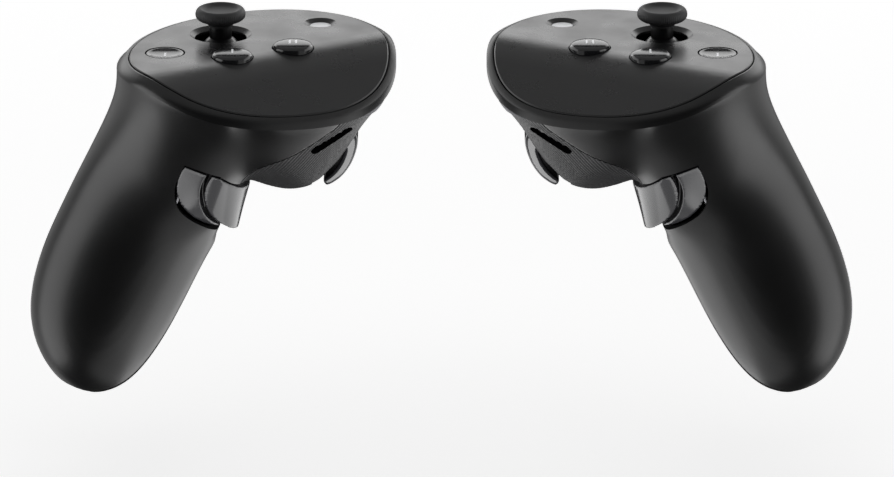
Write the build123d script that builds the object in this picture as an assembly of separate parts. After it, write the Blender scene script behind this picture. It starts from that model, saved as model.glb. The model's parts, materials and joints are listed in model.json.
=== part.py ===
from build123d import *
import math
import os

# A mirrored pair of handheld motion controllers. Millimetres, +Z up, +X to the right of the pair,
# +Y away from the viewer. Every sub-part is made in the left controller's own frame: x forward from
# the thumbstick, y outward, z up from the flat of the top plate. The right controller is its mirror.

# Where the left controller stands in the pair's frame
STICK_TO_MIRROR = 62.8
LIFT = 48.49
SET_BACK = 2.32

# Top plate outline, a closed curve in polar form about PLATE_CENTRE
PLATE_CENTRE = (11.0, -2.0)
PLATE_RADIUS = 36.25
PLATE_COS = (0.44, 0.07, 0.41, -0.37)
PLATE_SIN = (-1.29, 3.01, -0.78, -0.42)
PLATE_THICK = 1.8
PLATE_GAP = 0.25
LEDGE = 1.6
LIP_DROP = 0.6

# The deck is flat round the stick and bends down towards the near front edge
BEND_X = 11.0
BEND_TURN = math.radians(30)
BEND_START = -8.0
BEND_LENGTH = 14.0
BEND_SLOPE = 0.5

# The band round the head and its depth under the deck
BAND_DEPTH = 3.0
RIM_ROUND = 1.2

# Body sections from the band's lower edge down to the tip: rear x, rear z, front x, front z, half
# width, middle y, roundness (0 = plate outline, 1 = ellipse), share of the deck's bend it keeps
SECTION_POINTS = 32
BAND_EDGE = (-28.8, 0.0, 50.0, 0.0, 38.7, -2.3, 0.0, 1.0)
STATIONS = (
    (-29.3, -10.8, 46.3, -11.7, 35.2, -1.6, 0.25, 0.75),
    (-32.3, -19.5, 41.0, -21.0, 30.6, -1.2, 0.55, 0.40),
    (-35.9, -27.5, 35.5, -33.0, 26.0, -0.8, 0.80, 0.12),
    (-39.2, -34.5, 27.5, -41.0, 22.4, -0.5, 0.95, 0.0),
    (-42.3, -40.8, 14.0, -46.5, 20.0, -0.3, 1.0, 0.0),
    (-45.0, -46.6, 2.6, -52.0, 18.4, -0.1, 1.0, 0.0),
    (-48.2, -53.3, -3.0, -60.5, 17.6, 0.0, 1.0, 0.0),
    (-51.4, -60.8, -8.6, -72.0, 17.3, 0.0, 1.0, 0.0),
    (-54.2, -70.0, -14.0, -83.0, 17.0, 0.0, 1.0, 0.0),
    (-55.4, -78.5, -19.0, -91.4, 16.0, 0.0, 1.0, 0.0),
    (-54.6, -86.8, -23.8, -98.0, 13.9, 0.0, 1.0, 0.0),
    (-51.6, -94.6, -29.6, -103.0, 10.2, 0.0, 1.0, 0.0),
    (-47.0, -100.6, -36.2, -104.7, 5.0, 0.0, 1.0, 0.0),
)
TOP_OF_LOFT = 20.0
FLARE = 4.0
WALL = 2.0
CHIN_ARCH = 0.02
HANDLE_ARCH = 0.012

# The handle's own axis, leaning rearward on its way down, from the middle of its top
HANDLE_LEAN = math.radians(23)
HANDLE_TOP = (-20.25, 0.0, -44.95)

# Thumbstick: cap and stem on a dome, tilting in a gimbal ring
STICK_Y = 9.6
STICK_HOLE_R = 7.4
STICK_HOLE_BEVEL = 1.1
PIVOT_Z = -6.5
DOME_R = 6.4
DOME_BASE = -5.0
STEM_R = 3.2
CAP_R = 7.15
CAP_BASE = 3.6
CAP_TOP = 7.8
RING_INNER = 6.9
RING_OUTER = 8.3
TRUNNION_R = 1.0
RUNNING_FIT = 0.05

# Face buttons, menu button and light
LOWER_BUTTON = (3.9, -12.6)
UPPER_BUTTON = (20.8, -3.6)
BUTTON_R = 5.75
BUTTON_TOP = 1.7
MENU_BUTTON = (-15.2, -8.6)
MENU_R = 5.4
LIGHT_SPOT = (28.2, 20.8)
LIGHT_R = 3.0
LIGHT_RIM_R = 4.6
CLEARANCE = 0.3

# Electronics under the plate
BOARD_TOP = -11.0
BOARD_THICK = 1.2
FRAME_TOP = -13.4
FRAME_THICK = 1.6
BOARD_CORNERS = ((-20.0, -14.0), (-20.0, 16.0), (32.0, 16.0), (32.0, 0.0), (18.0, -16.0))
BOARD_SCREWS = ((-16.5, 12.0), (29.0, 12.0), (14.0, -13.0), (-12.0, -2.0))
SWITCH_HEIGHT = 1.6

# Front cover: its parting line on the flanks and the chin's underside, both drawn in the side view
COVER_LINE = ((50.0, 6.0), (35.8, -13.3), (30.5, -18.6), (22.0, -24.7), (11.5, -30.0), (6.5, -36.0),
              (5.0, -44.0))
CHIN_LINE = ((36.5, -32.6), (29.5, -39.3), (20.5, -42.1), (12.5, -40.6), (7.0, -38.4))
WINDOW_ENDS = ((27.4, -24.4), (36.6, -18.9))
WINDOW_R = 0.8

# Trigger, in the side view
TRIGGER_HALF = 9.0
TRIGGER_PIVOT = (34.0, -23.0)
TRIGGER_HEAD_R = 4.6
TRIGGER_FRONT = ((39.3, -25.5), (38.9, -28.5), (37.2, -33.2), (34.2, -37.2), (30.0, -39.8))
TRIGGER_BACK = ((28.9, -38.0), (32.0, -35.6), (34.4, -31.8), (35.6, -28.0))
PIN_R = 1.1

# Grip button in the handle's frame: forward, outward, up the axis. Side-view lines run down the rear
# of a shape and forward along its underside
GRIP_PIVOT = (6.0, -12.2)
LOBE_HIGH = 19.8
LOBE_LINE = ((3.5, 19.8), (3.7, 13.0), (6.2, 8.3), (10.5, 5.2), (20.5, 2.2))
LOBE_INSIDE = -10.5
SLOT_HIGH = 20.3
SLOT_LINE = ((3.2, 20.3), (3.4, 12.8), (5.5, 7.5), (10.0, 3.9), (21.0, 0.6))
SLOT_FRONT = ((14.0, 2.7), (21.0, 0.6), (46.0, -6.9), (46.0, 6.4), (14.0, 20.4))
GAP_LINE = ((10.8, 22.0), (11.1, 12.0), (14.2, 7.2), (18.4, 4.0), (29.0, -1.0))
NOSE_LINE = ((11.9, 19.6), (12.2, 12.5), (15.0, 8.0), (19.0, 5.0), (27.8, 1.0))
NOSE_TOP = ((29.0, 13.2), (14.5, 19.4))
NOSE_REAR = 11.0
EAR_LOW = 3.9
EAR_HIGH = 21.6

# Nose sections: height, how far forward, how far out on the near side; and their shape as shares
NOSE_SECTIONS = ((0.0, 26.9, -18.0), (9.0, 25.4, -20.6), (20.0, 24.2, -25.0))
NOSE_SHAPE = ((0.0, 1.0), (0.28, 0.95), (0.56, 0.80), (0.82, 0.55), (0.97, 0.25), (1.0, 0.0), (0.9, -0.25),
              (0.56, -0.42))

# Battery and motor
BATTERY_R = 7.2
BATTERY_LENGTH = 50.0
BATTERY_START = 0.8
TRAY_WALL = 1.0
MOTOR_R = 5.0
MOTOR_LENGTH = 12.0


def deck_drop(x, y):
    """How far the deck has bent down at a point: a parabola running into a straight slope."""
    across = y * math.cos(BEND_TURN) - (x - BEND_X) * math.sin(BEND_TURN)
    past = max(BEND_START - across, 0.0)
    if past < BEND_LENGTH:
        return BEND_SLOPE * past * past / (2 * BEND_LENGTH)
    return BEND_SLOPE * (past - BEND_LENGTH / 2)


def plate_point(angle, margin=0.0):
    """A point of the plate's outline, or of the outline grown by a margin."""
    radius = PLATE_RADIUS + margin
    for order, (c, s) in enumerate(zip(PLATE_COS, PLATE_SIN), start=1):
        radius += c * math.cos(order * angle) + s * math.sin(order * angle)
    return PLATE_CENTRE[0] + radius * math.cos(angle), PLATE_CENTRE[1] + radius * math.sin(angle)


def section_angles():
    return [2 * math.pi * i / SECTION_POINTS for i in range(SECTION_POINTS)]


def unit_plate():
    """The plate outline scaled to run from -1 to 1 both ways."""
    points = [plate_point(a) for a in section_angles()]
    xs = [p[0] for p in points]
    ys = [p[1] for p in points]
    mid_x, half_x = (max(xs) + min(xs)) / 2, (max(xs) - min(xs)) / 2
    mid_y, half_y = (max(ys) + min(ys)) / 2, (max(ys) - min(ys)) / 2
    return [((x - mid_x) / half_x, (y - mid_y) / half_y) for x, y in points]


def closed_curve(points):
    """A smooth closed curve through points, with evenly spaced parameters so that lofts match."""
    count = len(points)
    steps = [i / count for i in range(count + 1)]
    return Wire([Edge.make_spline([Vector(*p) for p in points], periodic=True, parameters=steps)])


def station_points(station, inset=0.0):
    """One closed section of the body, spanned from its rear point to its front point."""
    rear_x, rear_z, front_x, front_z, half_width, middle, roundness, bend = station
    length = math.hypot(front_x - rear_x, front_z - rear_z)
    along = ((front_x - rear_x) / length, (front_z - rear_z) / length)
    points = []
    for angle, (plate_x, plate_y) in zip(section_angles(), unit_plate()):
        reach = ((1 - roundness) * plate_x + roundness * math.cos(angle)) * (length / 2 - inset)
        side = ((1 - roundness) * plate_y + roundness * math.sin(angle)) * (half_width - inset)
        x = (rear_x + front_x) / 2 + along[0] * reach
        y = middle + side
        z = (rear_z + front_z) / 2 + along[1] * reach
        points.append((x, y, z - bend * deck_drop(x, y)))
    return points


def band_point(angle):
    """The point of the band's outer wall that lies outside a point of the plate's edge."""
    x, y = plate_point(angle)
    rear_x, front_x, half_width, middle = BAND_EDGE[0], BAND_EDGE[2], BAND_EDGE[4], BAND_EDGE[5]
    corners = [plate_point(a) for a in section_angles()]
    xs = [p[0] for p in corners]
    ys = [p[1] for p in corners]
    outer_x = rear_x + (front_x - rear_x) * (x - min(xs)) / (max(xs) - min(xs))
    outer_y = middle - half_width + 2 * half_width * (y - min(ys)) / (max(ys) - min(ys))
    return outer_x, outer_y


def level_curve(margin, z):
    """The plate's outline as a level curve."""
    return closed_curve([(*plate_point(a, margin), z) for a in section_angles()])


def body_loft(inset=0.0):
    """The outer form below the band, or the same form drawn in by a wall, carried up past the deck."""
    top = list(BAND_EDGE)
    top[1] = top[3] = TOP_OF_LOFT
    top[2] += FLARE
    top[4] += FLARE
    top[7] = 0.0
    edge = []
    for x, y, z in station_points(BAND_EDGE, inset):
        edge.append((x, y, z - BAND_DEPTH))
    stations = STATIONS[:-1] if inset else STATIONS
    wires = [closed_curve(station_points(tuple(top), inset)), closed_curve(edge)]
    wires += [closed_curve(station_points(s, inset)) for s in stations]
    return Solid.make_loft(wires)


def below_deck(depth):
    """Everything under the deck surface lowered by a depth."""
    frame = Plane(origin=(BEND_X, 0, 0), x_dir=(-math.sin(BEND_TURN), math.cos(BEND_TURN), 0),
                  z_dir=(math.cos(BEND_TURN), math.sin(BEND_TURN), 0))
    half_drop = BEND_SLOPE * BEND_LENGTH / 2
    bend_end = BEND_START - BEND_LENGTH
    far = 110.0
    slope_end = -half_drop + BEND_SLOPE * (-far - bend_end)
    with BuildSketch(frame) as profile:
        with BuildLine():
            Line((far, -depth), (BEND_START, -depth))
            middle = (BEND_START - BEND_LENGTH / 2, -depth)
            Bezier((BEND_START, -depth), middle, (bend_end, -half_drop - depth))
            Line((bend_end, -half_drop - depth), (-far, slope_end - depth))
            Line((-far, slope_end - depth), (-far, -200))
            Line((-far, -200), (far, -200))
            Line((far, -200), (far, -depth))
        make_face()
    return extrude(profile.sketch, amount=130, both=True)


def plate_prism(margin, low=-60.0, high=12.0):
    return extrude(Face(level_curve(margin, low)), amount=high - low, dir=(0, 0, 1))


def arched(points, y, arch):
    return [(x, y, z + arch * y * y) for x, z in points]


def chin_cut(inset):
    """The space under the chin and in front of the handle's top, arched across the body."""
    wires = []
    for y in (-45, -30, -15, 0, 15, 30, 45):
        under = [Vector(*p) for p in arched([(x, z + inset) for x, z in CHIN_LINE], y, CHIN_ARCH)]
        back = -inset - HANDLE_ARCH * y * y
        handle = [under[-1], Vector(5.0 + back, y, -41.8), Vector(-2.0 + back, y, -57.0)]
        outside = [Vector(40, y, -80), Vector(75, y, -34), under[0]]
        edges = [Edge.make_spline(under)]
        edges += [Edge.make_line(p, q) for p, q in zip(handle, handle[1:])]
        edges.append(Edge.make_line(handle[-1], outside[0]))
        edges += [Edge.make_line(p, q) for p, q in zip(outside, outside[1:])]
        wires.append(Wire(edges))
    return Solid.make_loft(wires)


def body_solid(inset=0.0):
    """The whole outer form below the band as one solid, or its inside when inset by a wall."""
    form = (body_loft(inset) & below_deck(BAND_DEPTH)) - chin_cut(inset)
    return max(form.solids(), key=lambda solid: solid.volume)


def bezel():
    """The band round the plate, rounded on top, with a ledge that the plate lies on."""
    outline = closed_curve([(*band_point(a), -40.0) for a in section_angles()])
    form = extrude(Face(outline), amount=60, dir=(0, 0, 1)) & below_deck(LIP_DROP)
    rim = [e for e in form.edges() if lies_at_depth(e, LIP_DROP) and near_outline(e)]
    form = fillet(rim, RIM_ROUND)
    pocket = plate_prism(PLATE_GAP) - below_deck(PLATE_THICK)
    return form - below_deck(BAND_DEPTH) - pocket - plate_prism(-LEDGE)


def lies_at_depth(edge, depth):
    """True for an edge that follows the deck surface at a depth."""
    points = [edge @ (i / 6) for i in range(7)]
    return all(abs(p.Z + deck_drop(p.X, p.Y) + depth) < 0.05 for p in points)


def near_outline(edge):
    middle = edge @ 0.5
    return math.hypot(middle.X - PLATE_CENTRE[0], middle.Y - PLATE_CENTRE[1]) > PLATE_RADIUS - 4.0


def round_post(x, y, radius, low, high):
    return Pos(x, y, (low + high) / 2) * Cylinder(radius, high - low)


def faceplate():
    """The glossy top plate, bent with the deck, with its openings."""
    plate = (plate_prism(0.0) & below_deck(0.0)) - below_deck(PLATE_THICK)
    plate = plate.solid()
    edge = [e for e in plate.edges() if lies_at_depth(e, 0.0) and near_outline(e)]
    plate = chamfer(edge, 0.25)
    hole = round_post(0, STICK_Y, STICK_HOLE_R, -5, 5)
    bevel = Pos(0, STICK_Y, -STICK_HOLE_BEVEL / 2) * Cone(STICK_HOLE_R, STICK_HOLE_R + 1.45, STICK_HOLE_BEVEL)
    plate -= hole + bevel
    for x, y in (LOWER_BUTTON, UPPER_BUTTON):
        plate -= round_post(x, y, BUTTON_R + CLEARANCE, -5, 5)
    plate -= round_post(*MENU_BUTTON, MENU_R + CLEARANCE, -5, 5)
    plate -= round_post(*LIGHT_SPOT, LIGHT_R + 0.1, -5, 5)
    plate -= Pos(*LIGHT_SPOT, -0.45) * Cone(LIGHT_R + 0.1, LIGHT_RIM_R, 0.9)
    return plate


def face_button(x, y):
    """A domed key with a flange that stays under the plate."""
    key = round_post(x, y, BUTTON_R, -8.3, BUTTON_TOP)
    key = fillet(key.edges().group_by(Axis.Z)[-1], 0.7)
    return key + round_post(x, y, BUTTON_R + 0.9, -3.9, -2.9)


def menu_button():
    x, y = MENU_BUTTON
    key = round_post(x, y, MENU_R, -8.5, -0.15)
    key = key + round_post(x, y, MENU_R + 0.8, -3.2, -2.2)
    return key - Pos(x, y, 27.3) * Sphere(27.9)


def light_lens():
    x, y = LIGHT_SPOT
    return round_post(x, y, LIGHT_R, -PLATE_THICK, -0.9) + round_post(x, y, LIGHT_R + 1.0, -2.8, -PLATE_THICK)


def at_stick(shape):
    return Pos(0, STICK_Y, 0) * shape


def cross_pin(radius, start, end, along_x):
    turn = Rot(0, 90, 0) if along_x else Rot(90, 0, 0)
    middle = (start + end) / 2
    place = Pos(middle, 0, PIVOT_Z) if along_x else Pos(0, middle, PIVOT_Z)
    return place * turn * Cylinder(radius, abs(end - start))


def stick_stem():
    """Dome, hub, cross pin and the stem that carries the cap."""
    dome = Pos(0, 0, PIVOT_Z) * Sphere(DOME_R)
    dome &= Pos(0, 0, DOME_BASE + 10) * Box(30, 30, 20)
    hub = round_post(0, 0, 2.2, PIVOT_Z - 1.6, DOME_BASE)
    stem = round_post(0, 0, STEM_R, -1.5, CAP_BASE)
    pin = cross_pin(TRUNNION_R, -RING_OUTER + 0.3, RING_OUTER - 0.3, True)
    return at_stick(dome + hub + stem + pin)


def stick_cap():
    """The rubber cap: a rounded disc with a dished top and a flare down to the stem."""
    disc = round_post(0, 0, CAP_R, CAP_BASE, CAP_TOP)
    disc = fillet(disc.edges().filter_by(GeomType.CIRCLE), 1.9)
    dish_r = 18.0
    disc -= Pos(0, 0, CAP_TOP - 0.9 + dish_r) * Sphere(dish_r)
    return at_stick(disc)


def stick_gimbal():
    ring = Pos(0, 0, PIVOT_Z) * (Cylinder(RING_OUTER, 2.8) - Cylinder(RING_INNER, 2.8))
    ring -= cross_pin(TRUNNION_R + RUNNING_FIT, -RING_OUTER - 1, RING_OUTER + 1, True)
    for side in (-1, 1):
        ring += cross_pin(TRUNNION_R, side * (RING_OUTER - 0.6), side * (RING_OUTER + 1.9), False)
    return at_stick(ring)


def stick_module():
    """The base on the board, with a post at each side that holds the gimbal ring's pins."""
    base = Pos(0, 0, BOARD_TOP + 0.5) * Box(12, 22, 1.0)
    for side in (-1, 1):
        middle = side * (RING_OUTER + 1.4)
        base += Pos(0, middle, BOARD_TOP + 3.3) * Box(4, 2, 6.6)
    base -= cross_pin(TRUNNION_R + RUNNING_FIT, -20, 20, False)
    return at_stick(base)


def main_board():
    outline = Plane.XY.offset(BOARD_TOP - BOARD_THICK) * make_face(Polyline(*BOARD_CORNERS, close=True))
    board = extrude(outline, amount=BOARD_THICK)
    for x, y in BOARD_SCREWS:
        board -= round_post(x, y, 1.1, -20, 0)
    return board


def tact_switches():
    switches = []
    for x, y in (LOWER_BUTTON, UPPER_BUTTON, MENU_BUTTON):
        base = Pos(x, y, BOARD_TOP + 0.5) * Box(4.6, 4.6, 1.0)
        switches.append(base + round_post(x, y, 1.3, BOARD_TOP + 1.0, BOARD_TOP + SWITCH_HEIGHT))
    return Compound(switches)


def frame(cavity):
    """The inner frame that spans the head and carries the board on posts."""
    slab = cavity & Pos(0, 0, FRAME_TOP - FRAME_THICK / 2) * Box(200, 200, FRAME_THICK)
    for x, y in BOARD_SCREWS:
        slab += round_post(x, y, 2.2, FRAME_TOP - 0.5, BOARD_TOP - BOARD_THICK)
        slab -= round_post(x, y, 1.0, FRAME_TOP - FRAME_THICK, 0)
    return slab


def screws():
    made = []
    for x, y in BOARD_SCREWS:
        head = round_post(x, y, 1.9, BOARD_TOP, BOARD_TOP + 1.2)
        head -= Pos(x, y, BOARD_TOP + 1.0) * Box(2.2, 0.5, 0.8)
        made.append(head + round_post(x, y, 1.0, FRAME_TOP - FRAME_THICK + 0.2, BOARD_TOP))
    return Compound(made)


def cover_region():
    """Everything in front of the cover's parting line."""
    with BuildSketch(Plane.XZ) as profile:
        with BuildLine():
            line = Spline(*COVER_LINE)
            Line(line @ 1, (80, -60))
            Line((80, -60), (80, 6))
            Line((80, 6), line @ 0)
        make_face()
    return extrude(profile.sketch, amount=60, both=True)


def window_prism():
    """A pill along the parting line, through the near side of the cover only."""
    (x1, z1), (x2, z2) = WINDOW_ENDS
    length = math.hypot(x2 - x1, z2 - z1)
    pill = SlotCenterToCenter(length, 2 * WINDOW_R, rotation=math.degrees(math.atan2(z2 - z1, x2 - x1)))
    middle = Plane(origin=((x1 + x2) / 2, -5, (z1 + z2) / 2), x_dir=(1, 0, 0), z_dir=(0, -1, 0))
    return extrude(middle * pill, amount=50)


def side_profile(points, half_width):
    outline = Plane.XZ * make_face(Polyline(*points, close=True))
    return extrude(outline, amount=half_width, both=True)


def trigger_ears(inside):
    """Lugs rooted in the cover's wall that hold the trigger's pin."""
    ears = []
    for side in (-1, 1):
        lug = Pos(37.5, side * 10.9, -22.3) * Box(12, 2.2, 6.0)
        ears.append(lug & inside)
    return ears


def y_pin(x, z, radius, half_length):
    return Pos(x, 0, z) * Rot(90, 0, 0) * Cylinder(radius, 2 * half_length)


def cover(inside, wall, region):
    part = (wall & region) - window_prism() - grip_slot()
    part -= side_profile([(26.0, -20.5), (60, -20.5), (60, -60), (26.0, -60)], TRIGGER_HALF + 0.4)
    part -= y_pin(*TRIGGER_PIVOT, TRIGGER_HEAD_R + CLEARANCE, TRIGGER_HALF + 0.4)
    part = max(part.solids(), key=lambda solid: solid.volume)
    for lug in trigger_ears(inside):
        part += lug
    return part - y_pin(*TRIGGER_PIVOT, PIN_R, 20)


def trigger():
    """A convex lever hung from a round head on its pin."""
    px, pz = TRIGGER_PIVOT
    with BuildSketch(Plane.XZ) as profile:
        with BuildLine():
            front = Spline(*TRIGGER_FRONT)
            back = Spline(*TRIGGER_BACK)
            Line(front @ 1, back @ 0)
            Line(back @ 1, (px, -27.0))
            Line((px, -27.0), (px + 2.5, pz))
            Line((px + 2.5, pz), front @ 0)
        make_face()
        with Locations((px, pz)):
            Circle(TRIGGER_HEAD_R)
    lever = extrude(profile.sketch, amount=TRIGGER_HALF, both=True)
    return lever - y_pin(px, pz, PIN_R + RUNNING_FIT, 20)


def trigger_pin():
    return y_pin(*TRIGGER_PIVOT, PIN_R, 12.0)


def handle_frame():
    lean = (math.cos(HANDLE_LEAN), 0, -math.sin(HANDLE_LEAN))
    up = (math.sin(HANDLE_LEAN), 0, math.cos(HANDLE_LEAN))
    return Plane(origin=HANDLE_TOP, x_dir=lean, z_dir=up)


def in_handle(shape):
    return handle_frame().location * shape


def side_shape(line, *corners):
    """A face in the handle's side view: a curve down its rear and underside, closed by straight runs."""
    with BuildSketch(Plane.XZ) as profile:
        with BuildLine():
            curve = Spline(*line)
            Polyline(curve @ 1, *corners, curve @ 0)
        make_face()
    return profile.sketch


def grip_slot():
    """Room for the grip button and its swing, through the near side and the front."""
    lobe = extrude(side_shape(SLOT_LINE, (21.0, SLOT_HIGH)), amount=37)
    lobe &= Pos(0, -21, 0) * Box(80, 32, 80)
    front = extrude(Plane.XZ * make_face(Polyline(*SLOT_FRONT, close=True)), amount=41)
    return in_handle(lobe + Pos(0, 11, 0) * front)


def grip_lobe(body):
    """The pad on the near side, flush with the handle, up to the gap in front of it."""
    pad = extrude(side_shape(LOBE_LINE, (20.5, LOBE_HIGH)), amount=30)
    pad -= extrude(side_shape(GAP_LINE, (40.0, -1.0), (40.0, 22.0)), amount=40)
    pad &= Pos(0, LOBE_INSIDE - 15, 0) * Box(80, 30, 80)
    return in_handle(pad) & body


def nose_section(height, front, near):
    """A level section of the nose: a curve round its side and front, closed inside the button."""
    curve = Edge.make_spline([Vector(NOSE_REAR + (front - NOSE_REAR) * s, near * t, height)
                              for s, t in NOSE_SHAPE])
    corners = [curve @ 1, Vector(13.5, 9.5, height), Vector(NOSE_REAR, -10.1, height), curve @ 0]
    return Wire([curve] + [Edge.make_line(p, q) for p, q in zip(corners, corners[1:])])


def grip_nose():
    """The part that the finger pulls, standing proud of the handle's front."""
    nose = Solid.make_loft([nose_section(*section) for section in NOSE_SECTIONS])
    return in_handle(nose & extrude(side_shape(NOSE_LINE, *NOSE_TOP), amount=40, both=True))


def grip_button(body):
    """Lobe and nose joined behind the gap, on one pin."""
    web = in_handle(Pos(12.5, -13.25, 13.5) * Box(7, 5.5, 11))
    return grip_lobe(body) + web + grip_nose() - grip_axle(PIN_R + RUNNING_FIT, -10, 30)


def grip_axle(radius, low, high):
    return in_handle(Pos(*GRIP_PIVOT, (low + high) / 2) * Cylinder(radius, high - low))


def grip_pin():
    return grip_axle(PIN_R, EAR_LOW - 0.8, EAR_HIGH + 0.8)


def grip_ears(inside):
    """Lugs inside the inner shell above and below the slot, which hold the grip button's pin."""
    ears = []
    for middle in (EAR_LOW, EAR_HIGH):
        lug = in_handle(Pos(GRIP_PIVOT[0], -20.2, middle) * Box(5.0, 20.0, 2.0))
        ears.append(lug & inside)
    return ears


def seam_region():
    """Everything on the near side of the seam between the two handle shells."""
    near = [(-100.0, 40.0), (3.0, 40.0), (0.0, -45.0), (-7.0, -108.0), (-100.0, -108.0)]
    outline = Plane.YZ * make_face(Polyline(*near, close=True))
    return extrude(outline, amount=120, both=True)


def handle_post(radius, low, high):
    return in_handle(Pos(0, 0, (low + high) / 2) * Cylinder(radius, high - low))


def battery():
    low = -BATTERY_START - BATTERY_LENGTH
    cell = handle_post(BATTERY_R, low, -BATTERY_START - 1.0)
    return cell + handle_post(2.7, -BATTERY_START - 1.0, -BATTERY_START)


def battery_contacts():
    low = -BATTERY_START - BATTERY_LENGTH
    front = handle_post(4.5, -BATTERY_START, -BATTERY_START + 0.6)
    rear = handle_post(5.0, low - 0.8, low)
    return Compound([front, rear])


def battery_tray(cavity):
    """An open trough round the battery, held by two ribs across the handle."""
    low = -BATTERY_START - BATTERY_LENGTH
    tube = handle_post(BATTERY_R + TRAY_WALL, low - 1.6, -BATTERY_START - 1.2)
    for height in (-12.0, -38.0):
        tube += in_handle(Pos(0, 0, height) * Box(80, 80, 1.5)) & cavity
    tube -= handle_post(BATTERY_R, low, 5)
    tube -= handle_post(5.0, low - 0.8, low)
    return tube - in_handle(Pos(0, 12.5, -26) * Box(12.0, 12, 40))


def haptic_motor():
    return Pos(-14.0, 0, FRAME_TOP - FRAME_THICK - MOTOR_R) * Rot(90, 0, 0) * Cylinder(MOTOR_R, MOTOR_LENGTH)


def controller():
    """All the nodes of the left controller, by name."""
    body = body_solid()
    cavity = body_solid(WALL)
    inside = body_solid(WALL / 2)
    wall = body - cavity
    region = cover_region()
    window = window_prism()
    handle = wall - region - grip_slot()
    near = seam_region()
    inner = max((handle & near).solids(), key=lambda solid: solid.volume)
    outer = max((handle - near).solids(), key=lambda solid: solid.volume)
    for lug in grip_ears(inside):
        inner += lug
    inner -= grip_axle(PIN_R, -20, 40)
    return {
        "bezel": bezel(),
        "faceplate": faceplate(),
        "shell_inner": inner,
        "shell_outer": outer,
        "front_cover": cover(inside, wall, region),
        "sensor_window": wall & region & window,
        "light_lens": light_lens(),
        "stick_module": stick_module(),
        "stick_gimbal": stick_gimbal(),
        "stick_stem": stick_stem(),
        "stick_cap": stick_cap(),
        "lower_button": face_button(*LOWER_BUTTON),
        "upper_button": face_button(*UPPER_BUTTON),
        "menu_button": menu_button(),
        "main_board": main_board(),
        "tact_switches": tact_switches(),
        "inner_frame": frame(cavity),
        "board_screws": screws(),
        "trigger": trigger(),
        "trigger_pin": trigger_pin(),
        "grip_button": grip_button(body),
        "grip_pin": grip_pin(),
        "battery": battery(),
        "battery_contacts": battery_contacts(),
        "battery_tray": battery_tray(cavity),
        "haptic_motor": haptic_motor(),
    }


os.makedirs("parts", exist_ok=True)
for name, shape in controller().items():
    # Mirroring twice writes the left one's geometry in place rather than as a shifted copy
    right = mirror(Pos(-STICK_TO_MIRROR, SET_BACK, LIFT) * shape, about=Plane.YZ)
    export_step(right, f"parts/right_{name}.step")
    export_step(mirror(right, about=Plane.YZ), f"parts/left_{name}.step")
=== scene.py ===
import json
import math

import bmesh
import bpy
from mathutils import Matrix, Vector

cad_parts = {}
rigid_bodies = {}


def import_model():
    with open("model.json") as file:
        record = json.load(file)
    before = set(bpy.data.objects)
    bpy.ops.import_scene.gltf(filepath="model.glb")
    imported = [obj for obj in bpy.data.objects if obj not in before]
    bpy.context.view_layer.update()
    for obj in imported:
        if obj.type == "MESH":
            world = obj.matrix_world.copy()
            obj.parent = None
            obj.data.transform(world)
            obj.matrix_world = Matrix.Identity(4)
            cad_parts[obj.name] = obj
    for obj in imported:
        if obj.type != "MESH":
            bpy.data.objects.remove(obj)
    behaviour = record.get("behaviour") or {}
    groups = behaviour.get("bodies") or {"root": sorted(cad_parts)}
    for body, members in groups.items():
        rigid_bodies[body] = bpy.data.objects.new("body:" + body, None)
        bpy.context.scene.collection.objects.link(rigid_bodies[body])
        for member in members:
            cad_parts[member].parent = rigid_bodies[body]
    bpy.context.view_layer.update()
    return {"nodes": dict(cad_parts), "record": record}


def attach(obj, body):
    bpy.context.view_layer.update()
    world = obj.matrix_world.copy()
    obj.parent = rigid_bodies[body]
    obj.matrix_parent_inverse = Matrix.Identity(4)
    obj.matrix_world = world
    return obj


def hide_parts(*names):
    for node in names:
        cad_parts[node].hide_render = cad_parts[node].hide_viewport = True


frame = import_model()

# The pair's frame is in metres. Shapes below are in the left controller's own frame, in millimetres:
# x forward from the thumbstick, y outward, z up from the flat of the deck. The right one is its mirror.
STICK_TO_MIRROR = 62.8
SET_BACK = 2.32
LIFT = 48.49
SIDES = ("left", "right")

# Top plate outline in polar form, and the deck's bend, as in the CAD
PLATE_CENTRE = (11.0, -2.0)
PLATE_RADIUS = 36.25
PLATE_COS = (0.44, 0.07, 0.41, -0.37)
PLATE_SIN = (-1.29, 3.01, -0.78, -0.42)
BEND_X = 11.0
BEND_TURN = math.radians(30)
BEND_START = -8.0
BEND_LENGTH = 14.0
BEND_SLOPE = 0.5

# Body sections from the band down: rear x, rear z, front x, front z, half width, middle y,
# roundness (0 = plate outline, 1 = ellipse), share of the deck's bend that the section keeps
SECTIONS = (
    (-28.8, -3.0, 50.0, -3.0, 38.7, -2.3, 0.0, 1.0),
    (-29.3, -10.8, 46.3, -11.7, 35.2, -1.6, 0.25, 0.75),
    (-32.3, -19.5, 41.0, -21.0, 30.6, -1.2, 0.55, 0.40),
    (-35.9, -27.5, 35.5, -33.0, 26.0, -0.8, 0.80, 0.12),
    (-39.2, -34.5, 27.5, -41.0, 22.4, -0.5, 0.95, 0.0),
    (-42.3, -40.8, 14.0, -46.5, 20.0, -0.3, 1.0, 0.0),
    (-45.0, -46.6, 2.6, -52.0, 18.4, -0.1, 1.0, 0.0),
    (-48.2, -53.3, -3.0, -60.5, 17.6, 0.0, 1.0, 0.0),
    (-51.4, -60.8, -8.6, -72.0, 17.3, 0.0, 1.0, 0.0),
    (-54.2, -70.0, -14.0, -83.0, 17.0, 0.0, 1.0, 0.0),
    (-55.4, -78.5, -19.0, -91.4, 16.0, 0.0, 1.0, 0.0),
    (-54.6, -86.8, -23.8, -98.0, 13.9, 0.0, 1.0, 0.0),
    (-51.6, -94.6, -29.6, -103.0, 10.2, 0.0, 1.0, 0.0),
    (-47.0, -100.6, -36.2, -104.7, 5.0, 0.0, 1.0, 0.0),
)
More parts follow.
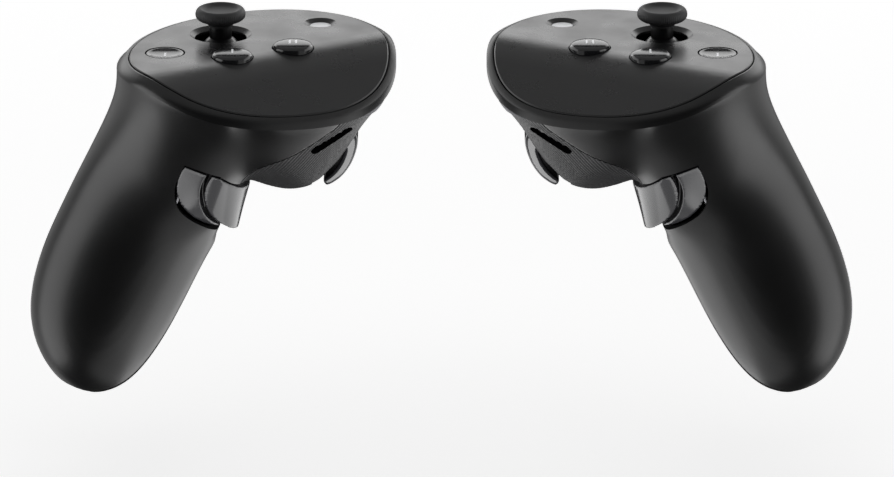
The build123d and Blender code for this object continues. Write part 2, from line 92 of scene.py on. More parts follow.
BAND_EDGE = (-28.8, 50.0, 38.7, -2.3)
CHIN_LINE = ((36.5, -32.6), (29.5, -39.3), (20.5, -42.1), (12.5, -40.6), (7.0, -38.4))
CHIN_ARCH = 0.02
HANDLE_ARCH = 0.012
CHIN_REACH = 45.0
CHIN_STEPS = 30

# How the skin is made: sections, cube size of the remesh, rounds of smoothing and wall
SECTION_STEPS = 110
SECTION_POINTS = 180
LAST_SECTION = 0.992
ABOVE_BAND = 9.0
BAND_DEPTH = 3.0
VOXEL = 0.9
SMOOTHING = 36
WALL = 1.8

# Flank under the head, which is smoothed further: centre in the side view, reach, and how it fades
FLANK_CENTRE = (6.0, -24.0)
FLANK_REACH = 27.0
FLANK_FADE = 12.0
FLANK_MIDDLE = 9.0
FLANK_BELOW = 4.0
FLANK_BELOW_FADE = 14.0
FLANK_SMOOTHING = 260

# Cover and window in the side view, and the trigger's opening
COVER_LINE = (
    (50.0, 6.0), (35.8, -13.3), (30.5, -18.6), (22.0, -24.7), (11.5, -30.0), (6.5, -36.0), (5.0, -44.0),
)
COVER_FRONT = [(90.0, -60.0), (90.0, 6.0)]
COVER_GAP = 0.28
WINDOW_ENDS = ((27.4, -24.4), (36.6, -18.9))
WINDOW_R = 1.1
WINDOW_GAP = 0.12
TRIGGER_ROOM = [(26.0, -20.5), (60.0, -20.5), (60.0, -60.0), (26.0, -60.0)]
TRIGGER_ROOM_HALF = 9.5

# The cover's grooves turn about a line that leans forward with height. Angles are in degrees
RIB_CENTRE = (16.0, -20.0)
RIB_FORWARD = (0.866, -0.5)
RIB_DEPTH = 0.28
RIB_TURN = 2.2
RIB_END = 104.0
RIB_FADE = 24.0
HEAD_MIDDLE = Vector((14.0, 0.0, -15.0))
RIB_EDGE = 0.45

# Grip button's slot in the handle's frame, forward and up the axis
HANDLE_LEAN = math.radians(23)
HANDLE_TOP = (-20.25, -44.95)
SLOT_LINE = ((3.2, 20.3), (3.4, 12.8), (5.5, 7.5), (10.0, 3.9), (21.0, 0.6))
SLOT_FRONT = [(46.0, -6.9), (46.0, 6.4), (14.0, 20.4)]
SLOT_INSIDE = 11.0

# Seam between the handle shells, seen from the front: y and z down the handle
SEAM_LINE = ((3.0, 40.0), (0.0, -45.0), (-7.0, -108.0))
SEAM_GAP = 0.15

# Band round the plate
BAND_POINTS = 360
BAND_GAP = 0.25
BAND_FALL_FRONT = 0.9
BAND_FALL_REAR = 1.9

# Turned profiles, radius and height
STICK_Y = 9.6
CAP_PROFILE = (
    (0.0, 6.75), (2.5, 6.8), (4.1, 6.98), (4.9, 7.35), (5.4, 7.66), (5.9, 7.74), (6.5, 7.48), (6.95, 6.9),
    (7.13, 6.2), (7.1, 5.5), (6.8, 4.9), (6.2, 4.4), (5.3, 4.0), (4.4, 3.6), (3.6, 3.0), (3.2, 2.4),
    (0.0, 2.4),
)
CAP_POINTS = 432
KNURL_COUNT = 72
KNURL_DEPTH = 0.09
LOWER_KEY = (3.9, -12.6)
UPPER_KEY = (20.8, -3.6)
MENU_KEY = (-15.2, -8.6)
KEY_CROWN = ((0.0, 1.78), (1.5, 1.75), (3.0, 1.64), (4.3, 1.42), (5.1, 1.12), (5.55, 0.72), (5.75, 0.2))
KEY_SKIRT = [(5.75, -2.9), (6.65, -2.9), (6.65, -3.9), (5.75, -3.9), (5.75, -8.3), (0.0, -8.3)]
MENU_RIM = (
    (0.0, -0.62), (2.0, -0.57), (3.6, -0.38), (4.5, -0.16), (4.95, -0.08), (5.25, -0.14), (5.38, -0.4),
)
MENU_SKIRT = [(5.4, -2.2), (6.2, -2.2), (6.2, -3.2), (5.4, -3.2), (5.4, -8.5), (0.0, -8.5)]
KEY_POINTS = 120

# Marks on the keys: half width, length, height of the upper and lower face over the key, and steps
MARK_HALF = 0.28
MARK_LENGTH = 3.4
MARK_LEVELS = (0.02, -0.12)
MARK_STEPS = 8

# Soft boxes of the left controller: azimuth, elevation, distance, width, height, radiance
CONTROLLER_BOXES = (
    (-82, -8, 1.2, 1.1, 2.2, 2.2),
    (-140, -8, 1.2, 0.9, 2.2, 0.5),
    (112, -12, 1.1, 2.0, 2.6, 1.7),
    (52, -10, 1.2, 0.8, 2.2, 0.55),
    (60, -58, 1.0, 1.3, 1.0, 0.7),
)
TRIGGER_BOX = (8, -20, 1.2, 1.5, 1.1, 8.0)
GRIP_BOX = (-14, -22, 1.2, 2.6, 2.4, 2.8)
BACK_BOX = (180, 20, 2.4, 3.4, 1.0, 1.9)
TOP_BOX = (0, 90, 1.5, 3.4, 3.0, 0.42)
CONTROLLER_MIDDLE = 0.08
FLOOR_Z = -0.0765

# Camera
CAMERA_ELEVATION = math.radians(18.5)
CAMERA_DISTANCE = 2.2
CAMERA_TARGET = Vector((0.0016, 0.0023, -0.0097))
FOCAL_LENGTH = 310.0


# ---------------------------------------------------------------- materials

def new_material(name, colour, roughness, metallic=0.0, specular=0.5):
    material = bpy.data.materials.new(name)
    material.use_nodes = True
    shader = material.node_tree.nodes["Principled BSDF"]
    shader.inputs["Base Color"].default_value = (*colour, 1.0)
    shader.inputs["Roughness"].default_value = roughness
    shader.inputs["Metallic"].default_value = metallic
    shader.inputs["Specular IOR Level"].default_value = specular
    return material, shader


def noise(material, scale, detail=3.0):
    nodes = material.node_tree.nodes
    where = nodes.new("ShaderNodeTexCoord")
    texture = nodes.new("ShaderNodeTexNoise")
    texture.inputs["Scale"].default_value = scale
    texture.inputs["Detail"].default_value = detail
    material.node_tree.links.new(where.outputs["Object"], texture.inputs["Vector"])
    return texture.outputs["Fac"]


def vary(material, factor, socket, low, high):
    """Lets a factor move a shader value between two ends."""
    spread = material.node_tree.nodes.new("ShaderNodeMapRange")
    spread.inputs["From Min"].default_value = 0.3
    spread.inputs["From Max"].default_value = 0.7
    spread.inputs["To Min"].default_value = low
    spread.inputs["To Max"].default_value = high
    material.node_tree.links.new(factor, spread.inputs["Value"])
    material.node_tree.links.new(spread.outputs["Result"], socket)


def vary_colour(material, factor, socket, low, high):
    ramp = material.node_tree.nodes.new("ShaderNodeValToRGB")
    ramp.color_ramp.elements[0].position = 0.3
    ramp.color_ramp.elements[0].color = (*low, 1.0)
    ramp.color_ramp.elements[1].position = 0.7
    ramp.color_ramp.elements[1].color = (*high, 1.0)
    material.node_tree.links.new(factor, ramp.inputs["Fac"])
    material.node_tree.links.new(ramp.outputs["Color"], socket)


def add_bump(material, shader, height, strength, distance):
    bump = material.node_tree.nodes.new("ShaderNodeBump")
    bump.inputs["Strength"].default_value = strength
    bump.inputs["Distance"].default_value = distance
    material.node_tree.links.new(height, bump.inputs["Height"])
    material.node_tree.links.new(bump.outputs["Normal"], shader.inputs["Normal"])


def moulded(name, colour, roughness, grain=0.15, specular=0.5):
    """Moulded plastic: a fine spark-eroded grain and roughness that drifts a little."""
    material, shader = new_material(name, colour, roughness, specular=specular)
    lighter = tuple(min(1.0, 1.25 * c) for c in colour)
    vary_colour(material, noise(material, 60.0), shader.inputs["Base Color"], colour, lighter)
    vary(material, noise(material, 45.0), shader.inputs["Roughness"], roughness * 0.93, roughness * 1.07)
    add_bump(material, shader, noise(material, 5200.0, 2.0), grain, 0.00003)
    return material


def polished(name, colour, roughness, specular=0.5):
    """Glossy plastic with a trace of handling haze."""
    material, shader = new_material(name, colour, roughness, specular=specular)
    lighter = tuple(min(1.0, 1.2 * c) for c in colour)
    vary_colour(material, noise(material, 40.0), shader.inputs["Base Color"], colour, lighter)
    vary(material, noise(material, 90.0, 5.0), shader.inputs["Roughness"], roughness * 0.85, roughness * 1.2)
    add_bump(material, shader, noise(material, 700.0, 1.0), 0.02, 0.00002)
    return material


def metal(name, colour, roughness):
    material, shader = new_material(name, colour, roughness, metallic=1.0)
    darker = tuple(0.8 * c for c in colour)
    vary_colour(material, noise(material, 300.0), shader.inputs["Base Color"], darker, colour)
    add_bump(material, shader, noise(material, 2500.0, 4.0), 0.2, 0.00004)
    return material


FINISHES = {
    "satin_black": moulded("satin_black", (0.0020, 0.0020, 0.0022), 0.36, 0.10),
    "gloss_black": polished("gloss_black", (0.004, 0.004, 0.0044), 0.29),
    "gloss_shell": polished("gloss_shell", (0.0020, 0.0020, 0.0022), 0.12),
    "ribbed_black": moulded("ribbed_black", (0.024, 0.024, 0.025), 0.40, 0.08),
    "window_black": polished("window_black", (0.0006, 0.0006, 0.0007), 0.5, specular=0.0),
    "light_white": polished("light_white", (0.75, 0.76, 0.78), 0.35),
    "stick_rubber": moulded("stick_rubber", (0.018, 0.018, 0.019), 0.62, 0.3),
    "button_black": polished("button_black", (0.008, 0.008, 0.009), 0.16),
    "frame_grey": moulded("frame_grey", (0.12, 0.12, 0.13), 0.55, 0.2),
    "board_green": polished("board_green", (0.02, 0.12, 0.06), 0.4),
    "switch_metal": metal("switch_metal", (0.55, 0.55, 0.57), 0.3),
    "screw_steel": metal("screw_steel", (0.4, 0.4, 0.42), 0.35),
    "battery_skin": polished("battery_skin", (0.1, 0.1, 0.11), 0.3),
    "contact_steel": metal("contact_steel", (0.6, 0.6, 0.58), 0.28),
    "motor_steel": metal("motor_steel", (0.5, 0.5, 0.52), 0.3),
}


def finish_nodes():
    """Gives every CAD node the finish of its slot in the record."""
    for part in frame["record"]["subparts"]:
        node = frame["nodes"].get(part["node"])
        if node is not None:
            node.data.materials.clear()
            node.data.materials.append(FINISHES[part["material_slot"]])


# ---------------------------------------------------------------- shape helpers

def to_row(side, x, y, z):
    """A point of the left controller's own frame, or its mirror image, in the pair's frame in metres."""
    across = (x - STICK_TO_MIRROR) / 1000
    return (across if side == "left" else -across, (y + SET_BACK) / 1000, (z + LIFT) / 1000)


def mesh_piece(side, name, points, faces, body, slot_name, *replaced, bend=40.0):
    """A smooth mesh piece from points in the controller's own frame, riding on one of its bodies."""
    mesh = bpy.data.meshes.new(f"{side}_{name}")
    if side == "right":
        faces = [tuple(reversed(face)) for face in faces]
    mesh.from_pydata([to_row(side, *point) for point in points], [], faces)
    mesh.validate()
    mesh.materials.append(FINISHES[slot_name])
    mesh.shade_smooth()
    mesh.set_sharp_from_angle(angle=math.radians(bend))
    piece = bpy.data.objects.new(f"{side}_{name}", mesh)
    bpy.context.scene.collection.objects.link(piece)
    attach(piece, f"{side}_{body}")
    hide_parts(*[f"{side}_{node}" for node in replaced])


def clamp(value):
    return min(max(value, 0.0), 1.0)


def spline_value(p, q, r, s, t):
    """Catmull-Rom value between q and r."""
    rise = r - p
    bow = 2 * p - 5 * q + 4 * r - s
    twist = 3 * q - p - 3 * r + s
    return 0.5 * (2 * q + rise * t + bow * t * t + twist * t ** 3)


def smooth_line(points, steps):
    """Catmull-Rom points through a row of points of any dimension."""
    ends = [points[0], *points, points[-1]]
    line = []
    for a, b, c, d in zip(ends, ends[1:], ends[2:], ends[3:]):
        for i in range(steps):
            line.append(tuple(spline_value(p, q, r, s, i / steps) for p, q, r, s in zip(a, b, c, d)))
    line.append(tuple(points[-1]))
    return line


def ring_faces(rings, count):
    """Quads between closed rings, the first ring on top, seen from outside."""
    faces = []
    for row in range(rings - 1):
        for i in range(count):
            j = (i + 1) % count
            top, low = row * count, (row + 1) * count
            faces.append((top + j, top + i, low + i, low + j))
    return faces


def lathe(profile, x, y, count, ripple=None):
    """Points and faces of a solid turned about an upright axis, from its top centre to its bottom centre."""
    points = [(x, y, profile[0][1])]
    inner = profile[1:-1]
    for radius, z in inner:
        for i in range(count):
            angle = 2 * math.pi * i / count
            reach = radius + (ripple(angle, z) if ripple else 0.0)
            points.append((x + reach * math.cos(angle), y + reach * math.sin(angle), z))
    points.append((x, y, profile[-1][1]))
    faces = [tuple(index + 1 for index in face) for face in ring_faces(len(inner), count)]
    last = len(points) - 1
    for i in range(count):
        j = (i + 1) % count
        faces.append((0, 1 + i, 1 + j))
        faces.append((last, last - count + j, last - count + i))
    return points, faces


def deck_drop(x, y):
    """How far the deck has bent down at a point."""
    across = y * math.cos(BEND_TURN) - (x - BEND_X) * math.sin(BEND_TURN)
    past = max(BEND_START - across, 0.0)
    if past < BEND_LENGTH:
        return BEND_SLOPE * past * past / (2 * BEND_LENGTH)
    return BEND_SLOPE * (past - BEND_LENGTH / 2)


def plate_point(angle, margin=0.0):
    radius = PLATE_RADIUS + margin
    for order, (c, s) in enumerate(zip(PLATE_COS, PLATE_SIN), start=1):
        radius += c * math.cos(order * angle) + s * math.sin(order * angle)
    return PLATE_CENTRE[0] + radius * math.cos(angle), PLATE_CENTRE[1] + radius * math.sin(angle)


def plate_reach():
    """Lowest and highest x and y of the plate's outline."""
    outline = [plate_point(2 * math.pi * i / 360) for i in range(360)]
    xs = [p[0] for p in outline]
    ys = [p[1] for p in outline]
    return min(xs), max(xs), min(ys), max(ys)


PLATE_REACH = plate_reach()


def unit_plate(angle):
    """The plate's outline scaled to run from -1 to 1 both ways."""
    x, y = plate_point(angle)
    low_x, high_x, low_y, high_y = PLATE_REACH
    return 2 * (x - low_x) / (high_x - low_x) - 1, 2 * (y - low_y) / (high_y - low_y) - 1


# ---------------------------------------------------------------- body shells

def section_at(t):
    """The section's numbers at t from 0 at the band to 1 at the tip, on a smooth B-spline."""
    first = [2 * a - b for a, b in zip(SECTIONS[0], SECTIONS[1])]
    final = [2 * a - b for a, b in zip(SECTIONS[-1], SECTIONS[-2])]
    rows = [first, *SECTIONS, final]
    place = min(t * (len(SECTIONS) - 1), len(SECTIONS) - 1 - 1e-9)
    start = int(place)
    u = place - start
    weights = (
        (1 - u) ** 3 / 6,
        (3 * u ** 3 - 6 * u * u + 4) / 6,
        (-3 * u ** 3 + 3 * u * u + 3 * u + 1) / 6,
        u ** 3 / 6,
    )
    return [sum(w * row[i] for w, row in zip(weights, rows[start:start + 4])) for i in range(8)]


def body_ring(t):
    """One closed section of the body, with its share of the deck's bend."""
    rear_x, rear_z, front_x, front_z, half_width, middle, roundness, bend = section_at(t)
    length = math.hypot(front_x - rear_x, front_z - rear_z)
    ring = []
    for i in range(SECTION_POINTS):
        angle = 2 * math.pi * i / SECTION_POINTS
        plate_x, plate_y = unit_plate(angle)
        reach = ((1 - roundness) * plate_x + roundness * math.cos(angle)) * length / 2
        y = middle + ((1 - roundness) * plate_y + roundness * math.sin(angle)) * half_width
        x = (rear_x + front_x) / 2 + (front_x - rear_x) / length * reach
        z = (rear_z + front_z) / 2 + (front_z - rear_z) / length * reach
        ring.append((x, y, z - bend * deck_drop(x, y)))
    return ring


def raw_mesh(name, points, faces):
    """A plain mesh in millimetres, only used to cut or to be cut."""
    mesh = bpy.data.meshes.new(name)
    mesh.from_pydata(points, [], faces)
    raw = bpy.data.objects.new(f"raw_{name}", mesh)
    bpy.context.scene.collection.objects.link(raw)
    return raw


def loft(name, rings):
    """A closed solid through rings that have the same number of points."""
    count = len(rings[0])
    faces = ring_faces(len(rings), count)
    last = (len(rings) - 1) * count
    faces.append(tuple(range(count)))
    faces.append(tuple(range(last + count - 1, last - 1, -1)))
    return raw_mesh(name, [point for ring in rings for point in ring], faces)


def side_prism(name, outline, low_y, high_y):
    """A side-view outline of x and z, carried across from one y to another."""
    pairs = zip(outline, outline[1:] + outline[:1])
    area = sum(x1 * z2 - x2 * z1 for (x1, z1), (x2, z2) in pairs)
    around = outline if area < 0 else outline[::-1]
    return loft(name, [[(x, y, z) for x, z in around] for y in (high_y, low_y)])


def chin_space():
    """The space under the chin and in front of the handle's top, arched across the body."""
    rings = []
    under = smooth_line(CHIN_LINE, 6)
    for step in range(CHIN_STEPS + 1):
        y = CHIN_REACH - 2 * CHIN_REACH * step / CHIN_STEPS
        back = -HANDLE_ARCH * y * y
        outline = [(x, y, z + CHIN_ARCH * y * y) for x, z in under]
        outline += [(5.0 + back, y, -41.8), (-2.0 + back, y, -57.0), (40.0, y, -80.0), (75.0, y, -34.0)]
        rings.append(outline[::-1])
    return loft("chin_space", rings)


def above_deck(depth):
    """Everything higher than a given depth under the deck."""
    xs = [80.0 - 2.5 * i for i in range(57)]
    rings = []
    for step in range(53):
        y = 65.0 - 2.5 * step
        deck = [(x, y, -depth - deck_drop(x, y)) for x in xs]
        rings.append([(xs[-1], y, 40.0), (xs[0], y, 40.0), *deck])
    return loft("above_deck", rings)


def finished(raw, *steps):
    """The mesh of a raw form after modifiers, each a type and its settings."""
    for kind, settings in steps:
        step = raw.modifiers.new(kind.lower(), kind)
        for key, value in settings.items():
            setattr(step, key, value)
    bpy.context.view_layer.update()
    ready = bpy.data.meshes.new_from_object(raw.evaluated_get(bpy.context.evaluated_depsgraph_get()))
    raw.modifiers.clear()
    return ready


def carve(form, cutter, operation="DIFFERENCE"):
    """A new form: the first with the cutter taken away, or only what they share."""
    result = bpy.data.objects.new(form.name, form.data.copy())
    bpy.context.scene.collection.objects.link(result)
    settings = {"operation": operation, "solver": "MANIFOLD", "object": cutter}
    result.data = finished(result, ("BOOLEAN", settings))
    return result


def flank_weight(x, y, z):
    """How much a point belongs to the flank under the head."""
    apart = math.hypot(x - FLANK_CENTRE[0], z - FLANK_CENTRE[1])
    near_centre = clamp((FLANK_REACH - apart) / FLANK_FADE)
    off_middle = clamp((abs(y) - FLANK_MIDDLE) / FLANK_MIDDLE)
    under_band = clamp((-FLANK_BELOW - z - deck_drop(x, y)) / FLANK_BELOW_FADE)
    return near_centre * off_middle * under_band


def body_skin():
    """The body as one hollow form: its sections and the space under the chin, blended smooth."""
    rings = [body_ring(LAST_SECTION * row / SECTION_STEPS) for row in range(SECTION_STEPS + 1)]
    rings.insert(0, [(x, y, z + ABOVE_BAND) for x, y, z in rings[0]])
    solid = carve(loft("body", rings), chin_space())
    solid.data = finished(
        solid,
        ("REMESH", {"mode": "VOXEL", "voxel_size": VOXEL}),
        ("SMOOTH", {"factor": 0.5, "iterations": SMOOTHING}),
    )
    flank = solid.vertex_groups.new(name="flank")
    for vertex in solid.data.vertices:
        flank.add([vertex.index], flank_weight(*vertex.co), "REPLACE")
    solid.data = finished(
        solid,
        ("SMOOTH", {"factor": 0.5, "iterations": FLANK_SMOOTHING, "vertex_group": "flank"}),
        ("SOLIDIFY", {"thickness": WALL, "offset": -1.0}),
    )
    return carve(solid, above_deck(BAND_DEPTH))


def handle_to_side(points):
    """Side-view points from the handle's frame (forward, up its axis) to x and z."""
    lean_x, lean_z = math.cos(HANDLE_LEAN), math.sin(HANDLE_LEAN)
    top_x, top_z = HANDLE_TOP
    return [(top_x + b * lean_x + h * lean_z, top_z - b * lean_z + h * lean_x) for b, h in points]


def pill_outline(grow):
    """The window's side-view outline, a bar with round ends."""
    (x1, z1), (x2, z2) = WINDOW_ENDS
    turn = math.atan2(z2 - z1, x2 - x1)
    radius = WINDOW_R + grow
    outline = []
    for x, z, start in ((x2, z2, -90), (x1, z1, 90)):
        for i in range(13):
            angle = turn + math.radians(start + 15 * i)
            outline.append((x + radius * math.cos(angle), z + radius * math.sin(angle)))
    return outline


def seam_space(shift):
    """Everything on the near side of the seam between the two handle shells."""
    seam = [(y + shift, z) for y, z in SEAM_LINE]
    near = [(-100.0, SEAM_LINE[0][1]), *seam, (-100.0, SEAM_LINE[-1][1])]
    return loft("seam_space", [[(x, y, z) for y, z in near] for x in (-120.0, 120.0)])


def outward(point, normal):
    """True on the outside of the head."""
    return normal.dot(Vector(point) - HEAD_MIDDLE) > 0


def groove(x, y, z):
    """Depth of the cover's grooves at a point."""
    forward = RIB_FORWARD[0] * (x - RIB_CENTRE[0]) + RIB_FORWARD[1] * (z - RIB_CENTRE[1])
    turn = math.degrees(math.atan2(abs(y), forward))
    shown = clamp((RIB_END - turn) / RIB_FADE)
    return RIB_DEPTH * shown * (0.5 - 0.5 * math.cos(2 * math.pi * turn / RIB_TURN))


def ribbed(cover):
    """Cuts the cover's grooves, which run down and back and fade out towards its rear."""
    shape = bmesh.new()
    shape.from_mesh(cover.data)
    shape.normal_update()
    outside = [f for f in shape.faces if outward(f.calc_center_median(), f.normal)]
    edges = {e for f in outside for e in f.edges if e.calc_length() > RIB_EDGE}
    bmesh.ops.subdivide_edges(shape, edges=list(edges), cuts=2, use_grid_fill=True)
    shape.normal_update()
    for vertex in shape.verts:
        if outward(vertex.co, vertex.normal):
            vertex.co -= vertex.normal * groove(*vertex.co)
    shape.to_mesh(cover.data)
    shape.free()
    return cover


def body_shells():
    """The near and far handle shells, the ribbed cover and its window, cut from one hollow form."""
    line = smooth_line(COVER_LINE, 8)
    wider_line = [(x - COVER_GAP * 0.6, z + COVER_GAP * 0.8) for x, z in line]
    region = side_prism("region", line + COVER_FRONT, -70, 70)
    wider = side_prism("wider", wider_line + COVER_FRONT, -70, 70)
    slot_side = handle_to_side(smooth_line(SLOT_LINE, 8) + SLOT_FRONT)
    slot = side_prism("slot", slot_side, -60, SLOT_INSIDE)
    trigger_room = side_prism("trigger_room", TRIGGER_ROOM, -TRIGGER_ROOM_HALF, TRIGGER_ROOM_HALF)
    pill = side_prism("pill", pill_outline(0.0), -70, -5)
    pill_gap = side_prism("pill_gap", pill_outline(WINDOW_GAP), -70, -5)
    skin = carve(body_skin(), slot)
    handle = carve(skin, wider)
    cover = carve(carve(skin, region, "INTERSECT"), trigger_room)
    parts = (
        ("shell_near", "shell_inner", "satin_black", carve(handle, seam_space(0.0), "INTERSECT")),
        ("shell_far", "shell_outer", "gloss_shell", carve(handle, seam_space(SEAM_GAP))),
        ("cover", "front_cover", "ribbed_black", ribbed(carve(cover, pill_gap))),
        ("window", "sensor_window", "window_black", carve(cover, pill, "INTERSECT")),
    )
    for name, node, slot_name, form in parts:
        points = [tuple(v.co) for v in form.data.vertices]
        faces = [tuple(face.vertices) for face in form.data.polygons]
        for side in SIDES:
            mesh_piece(side, name, points, faces, "controller", slot_name, node, bend=55.0)
    for raw in [o for o in bpy.data.objects if o.name.startswith("raw_")]:
        bpy.data.objects.remove(raw)


# ---------------------------------------------------------------- smaller pieces

def rounded(node_name, cube, rounds):
    """Rounds a CAD node's edges with modifiers, which change its shape as shown."""
    node = frame["nodes"][node_name]
    remesh = node.modifiers.new("even", "REMESH")
    remesh.mode = "VOXEL"
    remesh.voxel_size = cube / 1000
    remesh.use_smooth_shade = True
    smooth = node.modifiers.new("round", "SMOOTH")
    smooth.factor = 0.5
    smooth.iterations = rounds


def band_profile(angle):
    """Steps from the plate's edge out to the wall and back under: share of the way, and height."""
    rear = (0.5 - 0.5 * math.cos(angle)) ** 2
    fall = BAND_FALL_FRONT + BAND_FALL_REAR * rear
    return (
        (0.0, -2.0), (0.0, -0.45), (0.08, -0.28), (0.25, -0.3), (0.78, -0.25 - 0.72 * fall),
        (0.93, -0.25 - 0.92 * fall), (1.0, -0.5 - fall), (1.0, -3.35), (0.75, -3.35), (-0.3, -2.0),
    )


def band_ring(row):
    """One row of points round the band."""
    low_x, high_x, half, middle = BAND_EDGE
    ring = []
    for i in range(BAND_POINTS):
        angle = 2 * math.pi * i / BAND_POINTS
        edge_x, edge_y = plate_point(angle, BAND_GAP)
        share_x, share_y = unit_plate(angle)
        wall_x = (low_x + high_x) / 2 + share_x * (high_x - low_x) / 2
        wall_y = middle + share_y * half
        share, z = band_profile(angle)[row]
        x = edge_x + share * (wall_x - edge_x)
        y = edge_y + share * (wall_y - edge_y)
        ring.append((x, y, z - deck_drop(x, y)))
    return ring


def band(side):
    """The band round the plate: a lip, a slope that is widest at the rear, and the outer wall."""
    rows = len(band_profile(0.0))
    points = [point for row in range(rows) for point in band_ring(row)]
    faces = ring_faces(rows, BAND_POINTS)
    last = (rows - 1) * BAND_POINTS
    for i in range(BAND_POINTS):
        j = (i + 1) % BAND_POINTS
        faces.append((last + j, last + i, i, j))
    mesh_piece(side, "band", points, faces, "controller", "satin_black", "bezel", bend=60.0)


def knurl(angle, z):
    """How far the cap's side is cut in."""
    on_side = clamp((z - 4.4) / 0.5) * clamp((7.1 - z) / 0.4)
    return -KNURL_DEPTH * on_side * (0.5 + 0.5 * math.cos(KNURL_COUNT * angle))


def stick_cap(side):
    """Rubber cap with a dished top, a rounded lip and a finely knurled edge."""
    points, faces = lathe(smooth_line(CAP_PROFILE, 4), 0.0, STICK_Y, CAP_POINTS, knurl)
    mesh_piece(side, "cap", points, faces, "thumbstick", "stick_rubber", "stick_cap", bend=70.0)


def key_top(radius):
    """Height of a domed key's crown under its mark."""
    return 1.79 - 0.0155 * radius * radius


def menu_top(radius):
    """Height of the menu key's dish under its mark."""
    return -0.6 + 0.013 * radius * radius


def domed_key(side, name, centre, offsets):
    """A crowned key with a flange under the plate, marked with one or more short bars."""
    profile = smooth_line(KEY_CROWN, 4) + KEY_SKIRT
    points, faces = lathe(profile, *centre, KEY_POINTS)
    body = f"{name}_button"
    mesh_piece(side, f"{name}_key", points, faces, body, "button_black", body)
    for index, offset in enumerate(offsets):
        mark(side, f"{name}_mark_{index}", centre, offset, key_top, body)


def menu_key(side):
    """The dished menu key with a rounded rim, marked with one short bar."""
    profile = smooth_line(MENU_RIM, 4) + MENU_SKIRT
    points, faces = lathe(profile, *MENU_KEY, KEY_POINTS)
    mesh_piece(side, "menu_key", points, faces, "menu_button", "button_black", "menu_button")
    mark(side, "menu_mark", MENU_KEY, 0.0, menu_top, "menu_button")


def mark(side, name, centre, offset, top, body):
    """A short raised bar that follows the top of a key."""
    points = []
    for level in MARK_LEVELS:
        for j in range(MARK_STEPS + 1):
            y = MARK_LENGTH * (j / MARK_STEPS - 0.5)
            for x in (offset - MARK_HALF, offset + MARK_HALF):
                points.append((centre[0] + x, centre[1] + y, top(math.hypot(x, y)) + level))
    low = len(points) // 2
    faces = []
    for a in range(0, 2 * MARK_STEPS, 2):
        faces.append((a, a + 1, a + 3, a + 2))
        faces.append((low + a + 1, low + a, low + a + 2, low + a + 3))
        faces.append((a + 2, low + a + 2, low + a, a))
        faces.append((a + 1, low + a + 1, low + a + 3, a + 3))
    faces.append((0, low, low + 1, 1))
    faces.append((low - 1, 2 * low - 1, 2 * low - 2, low - 2))
    mesh_piece(side, name, points, faces, body, "light_white")


# ---------------------------------------------------------------- studio

def aim(obj, target):
    obj.rotation_euler = (Vector(target) - obj.location).to_track_quat("-Z", "Y").to_euler()


def panel(name, box, mirror=1, centre=(0.0, 0.0, -0.02)):
    """A soft box. Azimuth is measured from the camera's side, towards +X, and elevation above level."""
    azimuth, elevation, distance, width, height, radiance = box
    data = bpy.data.lights.new(name, "AREA")
    data.shape = "RECTANGLE"
    data.size = width
    data.size_y = height
    data.energy = radiance * math.pi * width * height
    light = bpy.data.objects.new(name, data)
    bpy.context.scene.collection.objects.link(light)
    turn, rise = math.radians(mirror * azimuth), math.radians(elevation)
    out = Vector((math.sin(turn) * math.cos(rise), -math.cos(turn) * math.cos(rise), math.sin(rise)))
    light.location = Vector(centre) + distance * out
    light.visible_camera = False
    aim(light, centre)
    return light


def light_only(light, objects):
    """Keeps a soft box for a few pieces, as a flag would in a studio."""
    group = bpy.data.collections.new(f"{light.name}_pieces")
    for obj in objects:
        group.objects.link(obj)
    light.light_linking.receiver_collection = group


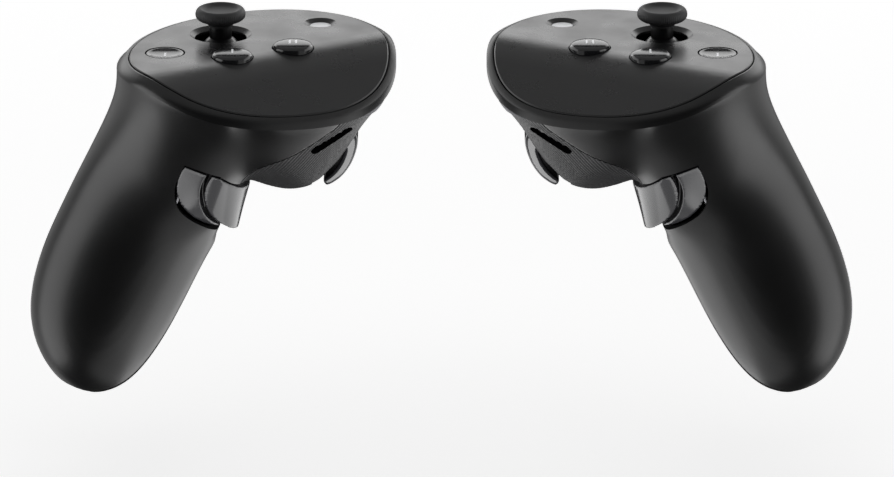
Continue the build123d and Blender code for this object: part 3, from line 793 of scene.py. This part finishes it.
def studio():
    """A bright box behind, a dim one overhead, and for each controller its own set, mirrored."""
    panel("back_box", BACK_BOX)
    panel("top_box", TOP_BOX)
    for side, mirror in (("left", 1), ("right", -1)):
        centre = (-mirror * CONTROLLER_MIDDLE, 0.0, -0.01)
        pieces = [o for o in bpy.data.objects if o.type == "MESH" and o.name.startswith(side)]
        for number, box in enumerate(CONTROLLER_BOXES):
            light_only(panel(f"{side}_box_{number}", box, mirror, centre), pieces)
        for name, box in (("trigger", TRIGGER_BOX), ("grip_button", GRIP_BOX)):
            node = frame["nodes"][f"{side}_{name}"]
            light_only(panel(f"{side}_{name}_box", box, mirror, centre), [node])


def floor():
    bpy.ops.mesh.primitive_grid_add(x_subdivisions=8, y_subdivisions=8, size=12, location=(0, 0, FLOOR_Z))
    ground = bpy.context.active_object
    ground.name = "floor"
    material, shader = new_material("floor_white", (0.9, 0.9, 0.9), 0.8, specular=0.1)
    vary(material, noise(material, 3.0), shader.inputs["Roughness"], 0.78, 0.82)
    shader.inputs["Emission Color"].default_value = (1, 1, 1, 1)
    shader.inputs["Emission Strength"].default_value = 0.62
    ground.data.materials.append(material)
    ground.visible_glossy = False
    ground.visible_shadow = False


def camera():
    data = bpy.data.cameras.new("camera")
    data.lens = FOCAL_LENGTH
    data.sensor_width = 36.0
    data.clip_end = 50.0
    view = bpy.data.objects.new("camera", data)
    bpy.context.scene.collection.objects.link(view)
    back = Vector((0, -math.cos(CAMERA_ELEVATION), math.sin(CAMERA_ELEVATION)))
    view.location = CAMERA_TARGET + CAMERA_DISTANCE * back
    aim(view, CAMERA_TARGET)
    bpy.context.scene.camera = view


def world():
    sky = bpy.data.worlds.new("studio")
    sky.use_nodes = True
    sky.node_tree.nodes["Background"].inputs["Color"].default_value = (1, 1, 1, 1)
    sky.node_tree.nodes["Background"].inputs["Strength"].default_value = 0.03
    bpy.context.scene.world = sky
    bpy.context.scene.view_settings.view_transform = "Standard"
    bpy.context.scene.cycles.use_denoising = True


finish_nodes()
body_shells()
for side in SIDES:
    rounded(f"{side}_trigger", 0.5, 30)
    rounded(f"{side}_grip_button", 0.35, 6)
    band(side)
    stick_cap(side)
    domed_key(side, "lower", LOWER_KEY, (0.0,))
    domed_key(side, "upper", UPPER_KEY, (-0.9, 0.9))
    menu_key(side)
studio()
floor()
camera()
world()
